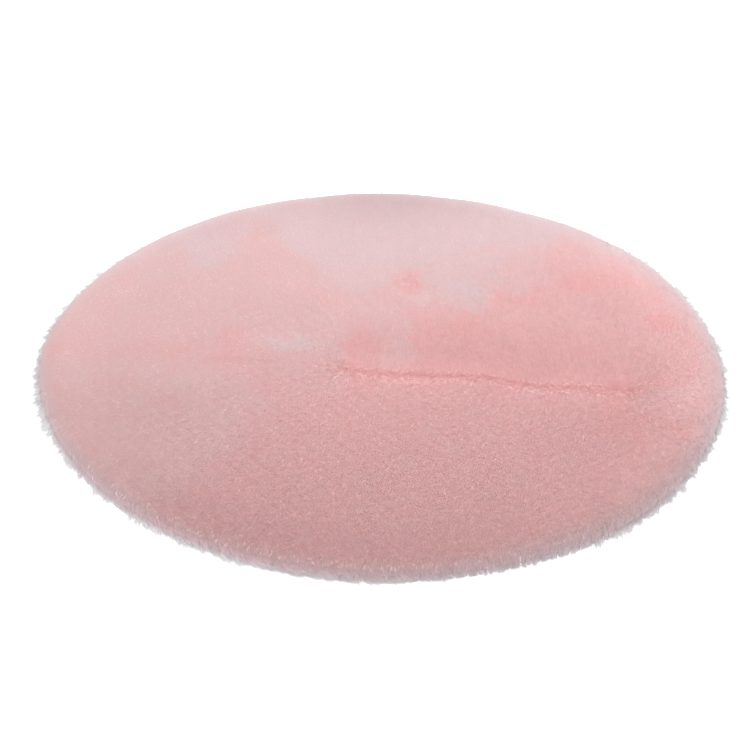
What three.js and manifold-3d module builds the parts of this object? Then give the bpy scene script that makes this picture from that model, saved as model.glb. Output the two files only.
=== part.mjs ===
// A round shag rug, lying flat on the floor.
// Millimetres, +Z up. The origin is on the floor under the middle of the rug, and -Y is the rug's front.
// The rug is one cut of deep pile cloth, so it is one solid: a lumpy slab with a flat underside, a crease
// across the middle where the cloth was folded, and short locks of pile lying out over the floor at its rim.
import * as THREE from 'three';
import Module from 'manifold-3d';

const wasm = await Module();
wasm.setup();

// Driving sizes
const DENSE_ACROSS = 1172; // over the dense pile
const LOCK_REACH = 21; // the most that a lock lies out past it, so the rug is about 1200 across in all
const PILE_DEEP = 27; // floor to the mean top of the pile, with its ground cloth
const ROUND_OVER = 30; // how far in from the dense rim the pile starts to round down
const BRUSHED_DROP = 1.5; // how much lower the brushed, back half lies
const BRUSHED_SOFT = 170; // how far that step spreads, either way, where the fold doesn't show

// Mesh of the slab
const RINGS = 27; // rings of the top, out to where it rounds down; ring k has 6k points
const SIDES = 6;
const ROUND_STEPS = 3; // rings from there down to the floor
const RAGGED = 2.5; // unevenness of the pile's top from one point to the next
const RIM_RAGGED = 2.6; // the same for the dense rim

// The cut isn't a true circle: each row swells it that many times round, from a bearing in degrees.
const OUTLINE_SWELLS = [
  { times: 3, size: 2.8, bearing: 47 },
  { times: 5, size: 1.6, bearing: 34 },
  { times: 8, size: 1.4, bearing: -4 },
];

// Low waves in the pile: each has a length from crest to crest, and runs towards a bearing in degrees.
const WAVES = [
  { length: 310, size: 1.2, bearing: 62, start: 0.4 },
  { length: 175, size: 0.8, bearing: -38, start: 2.1 },
  { length: 118, size: 0.4, bearing: 14, start: 4.0 },
];

// The fold across the middle, from left to right
const FOLD = [
  { x: -330, y: -6 },
  { x: -205, y: -9 },
  { x: -57, y: -36 },
  { x: 31, y: -46 },
  { x: 167, y: -53 },
  { x: 249, y: -76 },
  { x: 400, y: -88 },
];
// How much of the fold shows: plainly along its right part, a faint short line at its left, and none past its ends
const FOLD_SHOWS = [
  { x: -450, share: 0 },
  { x: -300, share: 0.05 },
  { x: -280, share: 0.25 },
  { x: -205, share: 0.25 },
  { x: -185, share: 0.05 },
  { x: -90, share: 0.05 },
  { x: -55, share: 0.9 },
  { x: 225, share: 1 },
  { x: 250, share: 0.6 },
  { x: 270, share: 0.9 },
  { x: 390, share: 0.7 },
  { x: 470, share: 0 },
];
const FOLD_DEEP = 4.5;
const FOLD_WIDE = 12; // half of the trough
const FOLD_LIP = { high: 1.5, before: 20 }; // the tufts that stand up along its front side
const FOLD_DRAW = { reach: 78, soft: 13 }; // mesh points within reach are drawn in towards it

// Round dips in the pile, where it was pressed or swirled
const DIPS = [
  { x: 56, y: 230, across: 46, deep: 3 },
  { x: -226, y: 414, across: 30, deep: 2.5 },
  { x: 517, y: -199, across: 38, deep: 4 },
  { x: 471, y: -315, across: 34, deep: 3.5 },
  { x: -5, y: 22, across: 80, deep: 2.5 },
];

// Locks of pile at the rim
const LOCKS = 220;
const LOCK_ROOT_IN = 9; // how far inside the dense rim a lock is rooted
const LOCK_ROOT = { half: 7.4, high: 13 };
const LOCK_MIDDLE = { half: 5, high: 7.5, along: 0.52 };
const LOCK_LENGTH = { least: 0.3, uneven: 0.48, atCorners: 0.23 }; // shares of LOCK_REACH
const LOCK_CORNERS = { bearings: [-145, -40], spread: 55 }; // where, at the front, the locks are longest
const LOCK_SWAY = { brushed: 4.8, times: 3, start: 1, loose: 3.2 }; // how far a tip lies off to one side
const LOCK_PLACE_UNEVEN = 0.2; // of the pitch from lock to lock
const LOCK_STOUT_UNEVEN = 0.14; // of a lock's width and height

const radians = THREE.MathUtils.degToRad;

// A repeatable uneven number from -1 to 1 for each index and purpose, from the late digits of a sine
const PURPOSE = { top: 1, rim: 2, lockPlace: 3, lockLength: 4, lockSway: 5, lockStout: 6 };
function uneven(index, purpose) {
  const late = Math.sin(index * 12.9898 + purpose * 78.233) * 43758.5453;
  return 2 * (late - Math.floor(late)) - 1;
}

// A smooth bump: 1 at zero distance, 0 at the given reach and beyond
function bump(distance, reach) {
  const share = Math.min(Math.abs(distance) / reach, 1);
  return (1 - share * share) ** 2;
}

function denseRadius(bearing) {
  let radius = DENSE_ACROSS / 2;
  for (const swell of OUTLINE_SWELLS) {
    radius += swell.size * Math.cos(swell.times * (bearing - radians(swell.bearing)));
  }
  return radius;
}

// A table's column at this x, along straight stretches from row to row, and level past its ends
function atX(rows, column, x) {
  const held = THREE.MathUtils.clamp(x, rows[0].x, rows[rows.length - 1].x);
  const stretch = rows.findLastIndex((row, i) => i === 0 || (i < rows.length - 1 && held >= row.x));
  const from = rows[stretch];
  const to = rows[stretch + 1];
  return from[column] + ((to[column] - from[column]) * (held - from.x)) / (to.x - from.x);
}

// Floor to the top of the pile at a point, before it rounds down at the rim
function pileTop(x, y) {
  let top = PILE_DEEP;
  for (const wave of WAVES) {
    const along = x * Math.cos(radians(wave.bearing)) + y * Math.sin(radians(wave.bearing));
    top += wave.size * Math.sin((2 * Math.PI * along) / wave.length + wave.start);
  }
  for (const dip of DIPS) {
    top -= dip.deep * bump(Math.hypot(x - dip.x, y - dip.y), dip.across);
  }
  const behind = y - atX(FOLD, 'y', x);
  const strength = atX(FOLD_SHOWS, 'share', x);
  const soft = FOLD_WIDE + BRUSHED_SOFT * (1 - strength);
  const brushed = THREE.MathUtils.smoothstep(behind, -soft, soft);
  top -= BRUSHED_DROP * brushed;
  top -= strength * FOLD_DEEP * bump(behind, FOLD_WIDE);
  top += strength * FOLD_LIP.high * bump(behind + FOLD_LIP.before, FOLD_WIDE);
  return top;
}

// Draws a point in towards the fold, so that the mesh is fine along it
function drawnToFold(x, y) {
  const off = y - atX(FOLD, 'y', x);
  const pull = atX(FOLD_SHOWS, 'share', x) * bump(off, FOLD_DRAW.reach);
  const closer = (off * Math.abs(off)) / (Math.abs(off) + FOLD_DRAW.soft);
  return y + pull * (closer - off);
}

function solidOf(points, triangles) {
  const mesh = new wasm.Mesh({
    numProp: 3,
    vertProperties: new Float32Array(points.flat()),
    triVerts: new Uint32Array(triangles.flat()),
  });
  return new wasm.Manifold(mesh);
}

// The slab: rings of points over the top, more rings round the shoulder down to the floor, and a flat base
function slab() {
  const points = [[0, 0, pileTop(0, 0)]];
  const triangles = [];
  const firstOf = (ring) => 1 + (SIDES * ring * (ring - 1)) / 2;

  for (let ring = 1; ring <= RINGS; ring++) {
    const around = SIDES * ring;
    for (let i = 0; i < around; i++) {
      const bearing = (2 * Math.PI * i) / around;
      const radius = ((denseRadius(bearing) - ROUND_OVER) * ring) / RINGS;
      const x = radius * Math.cos(bearing);
      const y = ring < RINGS ? drawnToFold(x, radius * Math.sin(bearing)) : radius * Math.sin(bearing);
      points.push([x, y, pileTop(x, y) + RAGGED * uneven(points.length, PURPOSE.top)]);
    }
    for (let side = 0; side < SIDES; side++) {
      for (let j = 0; j < ring; j++) {
        const outer = firstOf(ring) + side * ring + j;
        const nextOuter = firstOf(ring) + ((side * ring + j + 1) % around);
        const within = SIDES * (ring - 1);
        const inner = ring === 1 ? 0 : firstOf(ring - 1) + ((side * (ring - 1) + j) % within);
        triangles.push([inner, outer, nextOuter]);
        if (j < ring - 1) {
          const nextInner = firstOf(ring - 1) + ((side * (ring - 1) + j + 1) % within);
          triangles.push([inner, nextOuter, nextInner]);
        }
      }
    }
  }

  const around = SIDES * RINGS;
  let above = firstOf(RINGS);
  const shoulderTop = points.slice(above).map((point) => point[2]);
  for (let step = 1; step <= ROUND_STEPS; step++) {
    const turn = (step / ROUND_STEPS) * (Math.PI / 2);
    const below = points.length;
    for (let i = 0; i < around; i++) {
      const bearing = (2 * Math.PI * i) / around;
      const dense = denseRadius(bearing) + RIM_RAGGED * uneven(i, PURPOSE.rim);
      const radius = dense - ROUND_OVER * (1 - Math.sin(turn));
      const high = step < ROUND_STEPS ? shoulderTop[i] * Math.cos(turn) : 0;
      points.push([radius * Math.cos(bearing), radius * Math.sin(bearing), high]);
    }
    for (let i = 0; i < around; i++) {
      const next = (i + 1) % around;
      triangles.push([above + i, below + i, below + next]);
      triangles.push([above + i, below + next, above + next]);
    }
    above = below;
  }

  const middle = points.length;
  points.push([0, 0, 0]);
  for (let i = 0; i < around; i++) {
    triangles.push([middle, above + ((i + 1) % around), above + i]);
  }
  return solidOf(points, triangles);
}

// One lock: a three-sided spike, flat on the floor, whose ridge falls from its root to its tip
function lock(index) {
  const place = index + LOCK_PLACE_UNEVEN * uneven(index, PURPOSE.lockPlace);
  const bearing = (2 * Math.PI * place) / LOCKS;
  const rim = denseRadius(bearing);
  const stout = 1 + LOCK_STOUT_UNEVEN * uneven(index, PURPOSE.lockStout);
  let long = LOCK_LENGTH.least + (LOCK_LENGTH.uneven * (1 + uneven(index, PURPOSE.lockLength))) / 2;
  for (const corner of LOCK_CORNERS.bearings) {
    const off = THREE.MathUtils.euclideanModulo(bearing - radians(corner) + Math.PI, 2 * Math.PI) - Math.PI;
    long += LOCK_LENGTH.atCorners * bump(off, radians(LOCK_CORNERS.spread));
  }
  const reach = LOCK_REACH * Math.min(long, 1);
  const brushed = LOCK_SWAY.brushed * Math.sin(LOCK_SWAY.times * bearing + LOCK_SWAY.start);
  const sway = brushed + LOCK_SWAY.loose * uneven(index, PURPOSE.lockSway);

  // A point given by its distance out from the dense rim, its distance to the left, and its height
  const outward = new THREE.Vector2(Math.cos(bearing), Math.sin(bearing));
  const spot = (out, left, high) => [
    outward.x * (rim + out) - outward.y * left,
    outward.y * (rim + out) + outward.x * left,
    high,
  ];
  const whole = LOCK_ROOT_IN + reach;
  const middleOut = whole * LOCK_MIDDLE.along - LOCK_ROOT_IN;
  const middleLeft = sway * LOCK_MIDDLE.along ** 2;
  const points = [
    spot(-LOCK_ROOT_IN, LOCK_ROOT.half * stout, 0),
    spot(-LOCK_ROOT_IN, -LOCK_ROOT.half * stout, 0),
    spot(-LOCK_ROOT_IN, 0, LOCK_ROOT.high * stout),
    spot(middleOut, middleLeft + LOCK_MIDDLE.half * stout, 0),
    spot(middleOut, middleLeft - LOCK_MIDDLE.half * stout, 0),
    spot(middleOut, middleLeft, LOCK_MIDDLE.high * stout),
    spot(reach, sway, 0),
  ];
  const triangles = [
    [0, 1, 2],
    [0, 4, 1],
    [0, 3, 4],
    [1, 5, 2],
    [1, 4, 5],
    [2, 3, 0],
    [2, 5, 3],
    [3, 6, 4],
    [4, 6, 5],
    [5, 6, 3],
  ];
  return solidOf(points, triangles);
}

function rugGeometry() {
  let rug = slab();
  for (let index = 0; index < LOCKS; index++) {
    rug = rug.add(lock(index));
  }
  const mesh = rug.getMesh();
  const geometry = new THREE.BufferGeometry();
  geometry.setAttribute('position', new THREE.BufferAttribute(mesh.vertProperties, 3));
  geometry.setIndex(new THREE.BufferAttribute(mesh.triVerts, 1));
  geometry.computeVertexNormals();
  return geometry;
}

const pileCloth = new THREE.MeshStandardMaterial({ color: 0xe0aeae, roughness: 0.95, metalness: 0 });

const group = new THREE.Group();
const rug = new THREE.Mesh(rugGeometry(), pileCloth);
rug.name = 'rug';
group.add(rug);

export default group;
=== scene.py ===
import math
from dataclasses import dataclass

import bpy
import numpy as np
from bpy.props import FloatProperty, FloatVectorProperty, IntProperty, PointerProperty
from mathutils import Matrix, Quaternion, Vector


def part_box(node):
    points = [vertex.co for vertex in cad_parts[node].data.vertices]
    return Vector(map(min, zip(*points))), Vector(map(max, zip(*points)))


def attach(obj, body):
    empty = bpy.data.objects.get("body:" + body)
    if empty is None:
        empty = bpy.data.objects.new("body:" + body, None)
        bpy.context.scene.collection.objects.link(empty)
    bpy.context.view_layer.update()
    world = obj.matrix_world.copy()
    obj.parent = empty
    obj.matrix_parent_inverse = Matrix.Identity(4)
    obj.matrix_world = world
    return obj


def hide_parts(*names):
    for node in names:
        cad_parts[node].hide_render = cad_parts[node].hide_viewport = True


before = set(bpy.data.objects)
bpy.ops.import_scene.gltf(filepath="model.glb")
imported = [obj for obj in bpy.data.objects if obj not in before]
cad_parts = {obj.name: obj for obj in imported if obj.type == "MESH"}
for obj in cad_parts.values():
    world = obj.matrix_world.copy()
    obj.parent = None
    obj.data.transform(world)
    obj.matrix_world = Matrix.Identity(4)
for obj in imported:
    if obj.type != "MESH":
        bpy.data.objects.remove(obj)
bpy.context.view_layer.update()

bl_info = {
    "name": "Round shag rug",
    "version": (1, 0, 0),
    "blender": (4, 5, 0),
    "location": "View3D > Sidebar > Rug",
    "description": "Makes a round shag rug of deep brushed pile, piece by piece",
    "category": "Object",
}

# Lengths in the tables below are millimetres, as a maker would write them. Everything made is in metres.
MM = 0.001
LEAST_VECTOR = 1e-9  # the least length of a vector that is made a unit one
NEAR_NOUGHT = 1e-6  # the least distance or lean that divides
RUG_LOW, RUG_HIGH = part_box("rug")

# The rug's form, as its solid has it
LOCK_REACH = 18 * MM  # how far loose locks lie out past the dense rim
DENSE_RADIUS = (RUG_HIGH.x - RUG_LOW.x) / 2 - LOCK_REACH
PILE_DEEP = 27 * MM
ROUND_OVER = 30 * MM  # from the start of the shoulder to the dense rim, seen from above
SHOULDER_LONG = (ROUND_OVER + PILE_DEEP) / 2 * math.pi / 2  # along the shoulder from the top to the floor
FLOOR_BEND = 8 * MM  # over which a lock turns level where it runs out on the floor
BRUSHED_DROP = 1.5 * MM  # how much lower the pile lies behind the fold
OUTLINE_SWELLS = (  # times round, size in mm, bearing in degrees
    (3, 2.8, 47),
    (5, 1.6, 34),
    (8, 1.4, -4),
)
WAVES = (  # crest to crest in mm, size in mm, bearing in degrees, start in radians
    (310, 1.2, 62, 0.4),
    (175, 0.8, -38, 2.1),
    (118, 0.4, 14, 4.0),
)
DIPS = (  # x, y, across and deep, in mm
    (56, 230, 46, 3),
    (-226, 414, 30, 2.5),
    (517, -199, 38, 4),
    (471, -315, 34, 3.5),
    (-5, 22, 80, 2.5),
)

# The fold: the places it runs through, in mm, and how much of it shows by x in mm
FOLD = np.array(((-330, -6), (-205, -9), (-57, -36), (31, -46), (167, -53), (249, -76), (400, -88))) * MM
FOLD_SHOWS = np.array(
    ((-450, 0), (-300, 0.05), (-280, 0.25), (-205, 0.25), (-185, 0.05), (-90, 0.05), (-55, 0.9), (225, 1))
    + ((250, 0.6), (270, 0.9), (390, 0.7), (470, 0))
)
SIDE_CHANGE = 5 * MM  # half the width over which one side changes to the other where all of the fold shows
SIDE_SOFTER = 170 * MM  # and how much wider it is where none does
PARTING = (-57 * MM, 400 * MM)  # x, between which the pile parts along the fold and leans away from it
PARTING_END = 34 * MM  # how far the pile fans out from either end of the parting

# Bands along the fold: how far behind it the middle lies and how far the band reaches from there, both in
# mm, and how much it changes the height in mm, how far the pile is brushed back, how light it is, or how
# bare its roots are
TROUGH = (0, 10, -1.6)
LIP = (-14, 10, 0.5)
# Painted shade in the upright bands, the crease's dark line and the dark band; painted light in the light
# band
UPRIGHT_EDGE = (8, 26, -0.65)
UPRIGHT_BAND = (70, 150, -0.5)
CREASE_SHADE_LINE = (-2, 9, -0.4)
DARK_BAND = (70, 150, -0.3)
LIGHT_BAND = (-9, 78, 0.32)
BARE_ROOTS = (0, 16, 1)
# Painted light on tufts before the fold, clump by clump
TUFTS_BEFORE = 13 * MM  # how far before the fold its bright tufts lie, and how far they reach
TUFTS_SHOW = np.array(((-15, 0), (2, 1), (150, 1), (170, 0)))  # x in mm, and how bright they are there

# Where hands have turned the pile: a pale place lies brushed back, and a deep one stands more upright. Its
# colours paint in the light that this gives: pale is painted sheen on fibres that lie back, and deep is
# painted shade down in upright pile. Broad places: name, how far it is brushed back, how wide its soft edge
# is in mm, and its outline in mm
BRUSHED_IN_FRONT = -0.66
BRUSHED_BEHIND = 0.76  # how much further it is brushed back behind the fold
PLACES = (
    (
        "pale back",
        0.55,
        24,
        (
            (-420, 395), (-350, 340), (-325, 275), (-285, 275), (-262, 395), (-215, 400), (-175, 345),
            (-130, 300), (-112, 225), (-60, 212), (-5, 222), (22, 275), (62, 290), (84, 190), (120, 170),
            (160, 175), (190, 215), (215, 330), (300, 395), (345, 440), (470, 470), (300, 640), (0, 700),
            (-300, 640), (-560, 520),
        ),
    ),
    (
        "palest back",
        0.3,
        50,
        ((-160, 335), (-95, 290), (60, 300), (190, 380), (320, 480), (150, 640), (-150, 640), (-260, 470)),
    ),
    (
        "deep right",
        -0.62,
        30,
        (
            (45, 60), (48, 160), (90, 165), (185, 160), (200, 205), (268, 215), (285, 290), (298, 370),
            (345, 405), (430, 330), (515, 200), (540, 60), (530, -40), (440, -95), (250, -62), (60, -42),
        ),
    ),
    (
        "grey left front",
        0.6,
        70,
        ((-620, -20), (-300, -30), (-180, -110), (-240, -260), (-320, -400), (-500, -480), (-700, -150)),
    ),
    (
        "pale right front",
        0.3,
        80,
        ((330, -480), (420, -300), (520, -190), (650, -200), (600, -600), (150, -620)),
    ),
)
SWIRL = (48, 240, 36)  # x, y and reach in mm of a spot that the pile is combed round
# Small marks: name, x, y, half length and half width in mm, turn in degrees, and how far it is brushed
# back
MARKS = (
    ("pale point", 140, 228, 55, 34, 10, 0.35),
    ("long pale stroke", -145, 42, 92, 40, 2, 1.05),
    ("small pale stroke", 28, 36, 30, 40, 0, 0.45),
    ("pressed spot", -222, 425, 42, 55, 0, -0.6),
    ("deep edge", -112, 185, 75, 24, -52, -0.6),
    ("deep middle", -38, 34, 42, 66, 8, -1.2),
    ("deep left of the stroke", -258, 45, 44, 75, 0, -0.5),
    ("faint left", -345, 22, 80, 36, 0, -0.25),
    ("deep band", 150, 98, 85, 26, -2, -0.5),
    ("deep back", 370, 245, 105, 42, 8, -0.5),
    ("deep back edge", 235, 192, 90, 24, 6, -0.35),
    ("deep far right", 475, 125, 42, 42, 0, -0.5),
    ("deep by the fold", 200, -35, 260, 30, -9, -0.3),
    ("right hollow", 392, -165, 48, 62, -15, -0.7),
    ("round the hollow", 400, -170, 100, 125, 0, -0.3),
    ("right crease", 490, -205, 60, 20, -32, -0.7),
    ("left front blush", -445, -78, 62, 38, 0, -0.3),
    ("left front spot", -360, -150, 50, 40, 0, -0.3),
    ("pale far back right", 330, 400, 190, 110, -25, 0.55),
    ("pale far back left", -370, 330, 200, 130, 35, 0.35),
    ("swirl", *SWIRL, SWIRL[2], 0, -0.9),
)
# Broad painted shades, as the marks but with how much lighter the pile is there
SHADES = (
    ("middle of the back", 0, 640, 280, 320, 0, -1),
    ("left front", -400, -155, 190, 130, 0, -0.18),
    ("right front", 380, -210, 200, 130, 0, -0.18),
    ("stroke", -170, 58, 120, 50, 0, 0.28),
)
# Painted light behind the fold and painted shade towards the viewer, on pile that leans forwards
SHADE_IN_FRONT = 0.48
SHADE_BEHIND = 0.22  # how much lighter it is behind the fold
SHADE_NEAR = (520 * MM, -0.55)  # the way from the fold towards the viewer, and how much darker it is there
# Painted sheen: brushed-back pile is made lighter as well as paler
BRUSHED_SHINE = 0.08  # how much lighter the pile is where it is brushed back in full

# Mottling: how much, blotch size in mm, and seed
RAGGED_X = ((9, 70, 11), (5, 26, 12))  # how far the edges of places and marks wander, in mm
RAGGED_Y = ((9, 70, 13), (5, 26, 14))
RAGGED_EDGE = ((1.5, 22, 17),)  # how far the upright edge of the fold wanders, in mm
BRUSHED_MOTTLE = ((0.08, 60, 15), (0.06, 24, 16))
LEAN_X_MOTTLE = ((0.13, 130, 21), (0.06, 28, 22))
LEAN_Y_MOTTLE = ((0.06, 90, 23), (0.04, 28, 24))

# How the pile leans, as the flat part of a unit vector
LEAN = 0.88
LEAN_MOST = 0.93
LEAN_AT_PARTING = 0.2  # the share of it right at the parting
LEAN_AFTER = 16 * MM  # how far from the parting it leans in full
LEAN_UNEVEN = 0.06
SWIRL_LEAN = 0.7
SWIRL_WIDER = 1.2  # how much further than the swirl's colour its lean reaches
OUTWARDS_FROM = -40 * MM  # past the top's edge, where the pile begins to lean outwards
OUTWARDS_AT = 0.6 * SHOULDER_LONG
ROUGHNESS_LEAST = 0.2
ROUGHNESS_RUN = (-450 * MM, 250 * MM)  # from the combed back left to the loose right front
THINNEST_LAYER = 0.31  # the share of the locks' depth that is left where the pile is combed smooth

# How soft pile is shaded
RELIEF_SHADED = 0.3  # how much of the waves and of the fold's trough shows in the pile's shading
RIM_TILT = 0.5  # the most that the shading turns outwards at the rim, in radians
RIM_TILT_FROM = -10 * MM
FLOOR_TILT_LOST = 0.6  # the share of the tilt that is lost where loose tips lie on the floor
LEAST_OUTWARDS = 0.25
LEAST_HEIGHT = 0.2 * MM

# The locks of the pile. Shares are the least and the most of the size or depth that a lock may have
PILE_ENDS = 0.45  # the share of the shoulder that the pile's locks cover, before the rim's locks go on
ROOT_SCATTER = 0.45  # how far a root may lie from its place in the rows, as a share of the pitch
PILE_LONG = (0.75, 1.15)
PILE_RISE = (0.75, 1.0)
PILE_WIDE = (0.7, 1.25)
COMBED_WIDER = 0.45  # how much wider locks are where the pile is combed smooth
CLUMP_SEED = 31
STRAY_CLUMP = 10 * MM  # how far clumps stray across the parting, and then locks by themselves
STRAY_LOCK = 5 * MM
STRAY_AT_END = 1.5  # how much more they stray at its ends
LOCK_THICK = 0.65  # height over width
PILE_OWN_NORMALS = 0.04
PILE_REST = 2 * MM

# The locks that fall over the rim
TUFTS = (14 * MM, 6 * MM)  # from one tuft to the next along the rim: the coarse ones and the fine ones
COARSE = ((215, 60), (320, 60))  # where the coarse ones show most: bearing and reach in degrees
COARSE_LEAST = 0.3
COARSE_LONGER = 0.45
RIM_LONG = (1.0, 1.4)
RIM_LIFT = (0.6, 1.0)
RIM_REACH = (0.05, 1.35)
RIM_WIDE = 1.5 * MM
RIM_WIDE_SHARES = (0.45, 1.2)
RIM_LOOSE = (-1, 2)  # how far a tip lies under or over the rest, in mm
RIM_OWN_NORMALS = 0.06
# Painted light low on the shoulder and at its foot, where the floor's light comes through the fibres
RIM_SHADE = 4.6  # one unit of the two columns on lightness below
UPPER_RIM = (-170 * MM, -50 * MM)  # how far before the foot the pile begins to be lighter, and is so in full
FOOT_OF_RIM = (-28 * MM, 6 * MM)
# Painted grey and white at the rim: shade low on the shoulder and the white floor's light through thin tips
GREY_END = 14 * MM  # how far past the foot the pile is all grey
GREY_END_EARLIER = 20 * MM  # and how much earlier at the back
WHITE_RUN = (-3 * MM, 14 * MM)  # where the loose tips begin to turn white and are so in full
# By bearing in degrees: how much lighter the pile is towards the rim and again at its foot, as painted
# light and shade, how far the loose tips are combed round, against the clock, for each unit outwards, how far
# they reach, and how far up from the floor the pile begins to turn its painted grey, in mm
RIM_ROUND = dict(
    zip(
        ("bearing", "upper", "foot", "combed", "reach", "grey"),
        np.array(
            (
                (0, 0.18, -0.1, -0.2, 0.85, 50), (35, 0.12, -0.2, 0, 1.3, 90), (65, -0.03, 0, 0, 1, 72),
                (90, -0.03, 0, 0, 1, 68), (115, -0.05, 0, 0, 1.05, 68), (145, 0.03, 0, 0.2, 1.6, 74),
                (180, 0.05, 0.25, 0.6, 1, 42), (215, 0, 0.62, 1, 0.85, 42), (240, -0.06, 0.88, 1.1, 0.9, 42),
                (262, -0.06, 0.58, 0.9, 0.75, 44), (280, -0.04, 0.38, 0.2, 0.65, 48),
                (300, 0.01, 0.28, -0.6, 0.62, 54), (325, 0.06, 0.25, -0.8, 0.75, 52),
                (345, 0.17, 0.05, -0.5, 0.9, 54),
            )
        ).T,
    )
)

# The ground cloth and the underfur
GROUND_INSET = 7 * MM  # from the dense rim in to the cut edge
STITCH_WIDE = 4.4 * MM
STITCH_HIGH = 3.4 * MM
STITCH_SLANT = 1.2  # rows that a stitch's leg climbs over the width of a column
# Painted shade in the gaps between stitches
STITCH_GAP_SHADE = 0.82  # how dark the gaps between stitches are, as a share of the ground's colour
UNDERFUR_LUMPS = ((0.25, 16, 41),)
UNDERFUR_ENDS = 0.9  # the share of the shoulder that it covers
UNDERFUR_LEAST = 2.5 * MM
UNDERFUR_OVER_GROUND = 0.2 * MM
UNDERFUR_INSET = 8 * MM
# Painted shade down in the parting, where the underfur shows
UNDERFUR_DARKER = 0.6  # how much less of its bright roots shows where the pile parts
UNDERFUR_ALONG_BELOW = 0.25  # how much less shows on its hidden lower side
STRANDS = 1800  # strands of fibre across the whole uv map: four or so on each side of a lock

# The soft lights: name, place, aim, width and power
LIGHTS = (
    ("back softbox", (0.16, 1.9, 1.6), (0, 0.2, 0), 2.2, 41),
    ("low front softbox", (-0.8, -3.2, 0.5), (0, -0.5, 0), 1.6, 38),
)
SKY_STRENGTH = 0.72
FLOOR_WIDE = 60
FLOOR_GLOW = 0.6

# The photograph's framing, in its 750 x 750 pixels
PICTURE = 750
CAMERA_AWAY = 5.0
CAMERA_ELEVATION = 33.75
CAMERA_ROLL = 0.83
FOCAL_PIXELS = 2900
SENSOR_WIDE = 36
MIDDLE_PIXEL = (383.6, 371.3)  # where the rug's middle shows


def length(name, description, size):
    """A length that a user may change."""
    return FloatProperty(name=name, description=description, default=size, unit="LENGTH")


def colour(name, description, value):
    """A linear colour that a user may change."""
    return FloatVectorProperty(name=name, description=description, default=value, subtype="COLOR", size=3)


class RugSizes(bpy.types.PropertyGroup):
    """Sizes of the pile that a user would change."""

    lock_pitch: length("Lock pitch", "Mean distance from one lock of pile to the next", 3.3 * MM)
    lock_wide: length("Lock width", "Width of a lock where it is widest", 2.6 * MM)
    lock_long: length("Lock length", "How much of a lock shows", 16 * MM)
    layer_deep: length("Depth of the locks", "How far the locks reach over the underfur", 1.7 * MM)
    clump: length("Clump size", "Distance from one clump of locks to the next", 8 * MM)
    clump_pull: FloatProperty(
        name="Clump pull",
        description="How far the tips of a clump are drawn together",
        default=0.15,
        subtype="FACTOR",
        min=0,
        max=1,
    )
    rim_locks: IntProperty(
        name="Rim locks",
        description="Number of locks that fall over the rim",
        default=32000,
    )
    ground_thick: length("Ground thickness", "Thickness of the knitted ground cloth", 1.6 * MM)


class RugColours(bpy.types.PropertyGroup):
    """Colours of the pile, the ground cloth and the floor, as linear values."""

    # Deep is the pile's pink in painted shade, as seen down in upright pile; pale is it with painted sheen
    deep: colour("Deep pile", "Pile that stands forwards, so that one looks into it", (0.84, 0.412, 0.412))
    middle: colour("Middle pile", "Pile at rest", (0.79, 0.49, 0.49))
    pale: colour("Pale pile", "Pile that lies brushed back", (0.71, 0.54, 0.555))
    # Root is painted light: brighter than the tips, for light that scatters between the fibres low in the
    # pile
    root: colour("Root", "Lower locks and underfur, bright with light between fibres", (0.95, 0.64, 0.64))
    # Rim and loose tips are painted shade and floor light: grey down the shoulder, near white at the thin
    # ends
    rim: colour("Rim tips", "Pile at the foot of the shoulder", (0.80, 0.72, 0.75))
    tips: colour("Loose tips", "The ends of the thin tips that lie out over the floor", (0.95, 0.94, 0.95))
    ground: colour("Ground cloth", "The knitted ground under the pile", (0.80, 0.66, 0.66))
    floor: colour("Floor", "The plain floor", (0.98, 0.98, 0.98))


@dataclass
class Locks:
    """Locks of pile. Each runs from its root through one ring of three points to its tip."""

    places: np.ndarray  # where root, ring and tip lie on the unrolled rug: locks x 3 x 2
    heights: np.ndarray  # how high they stand over the pile: locks x 3
    wide: np.ndarray  # across the ring
    rest: np.ndarray  # the least height of the lock's middle line over the floor
    roll: np.ndarray  # how far its ridge is turned from uppermost, in radians
    buried: np.ndarray  # how much of its bright root is hidden, from 0 to 1
    brushed: np.ndarray  # how far it is brushed back
    shade: np.ndarray  # how light it is, mostly from 0 to 1


def between(low, high, share):
    """Low at a share of nought, high at one, and straight between."""
    return low + (high - low) * share


def bump(distance, reach):
    """One at no distance and nought from reach on: (1 - share squared) squared."""
    share = np.clip(np.abs(distance) / reach, 0, 1)
    return (1 - share**2) ** 2


def smooth_step(low, high, value):
    """Nought below low and one above high, with 3 share^2 - 2 share^3 between them."""
    share = np.clip((value - low) / (high - low), 0, 1)
    return share * share * (3 - 2 * share)


def unit(vectors):
    """Each vector over its own length."""
    size = np.linalg.norm(vectors, axis=-1, keepdims=True)
    return vectors / np.maximum(size, LEAST_VECTOR)


def blotches(x, y, size, seed):
    """A smooth uneven field, mostly from -1 to 1: the sum of ten plane waves about size long, in seeded
    directions."""
    waves = 10
    draw = np.random.default_rng(seed)
    bearing = draw.uniform(0, 2 * np.pi, waves)
    start = draw.uniform(0, 2 * np.pi, waves)
    number = 2 * np.pi / (size * draw.uniform(0.7, 1.5, waves))
    along = x[..., None] * np.cos(bearing) + y[..., None] * np.sin(bearing)
    return np.sin(along * number + start).sum(axis=-1) / math.sqrt(waves)


def mottle(x, y, rows):
    """The sum of the blotches of each row of a mottling table."""
    return sum(much * blotches(x, y, size * MM, seed) for much, size, seed in rows)


def ovals(x, y, rows):
    """The sum of each row's amount times a bump over its turned oval."""
    total = 0
    for _, middle_x, middle_y, long, wide, turn, amount in rows:
        off_x = x - middle_x * MM
        off_y = y - middle_y * MM
        angle = math.radians(turn)
        along = (off_x * math.cos(angle) + off_y * math.sin(angle)) / (long * MM)
        across = (off_y * math.cos(angle) - off_x * math.sin(angle)) / (wide * MM)
        total = total + amount * bump(np.hypot(along, across), 1)
    return total


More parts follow.
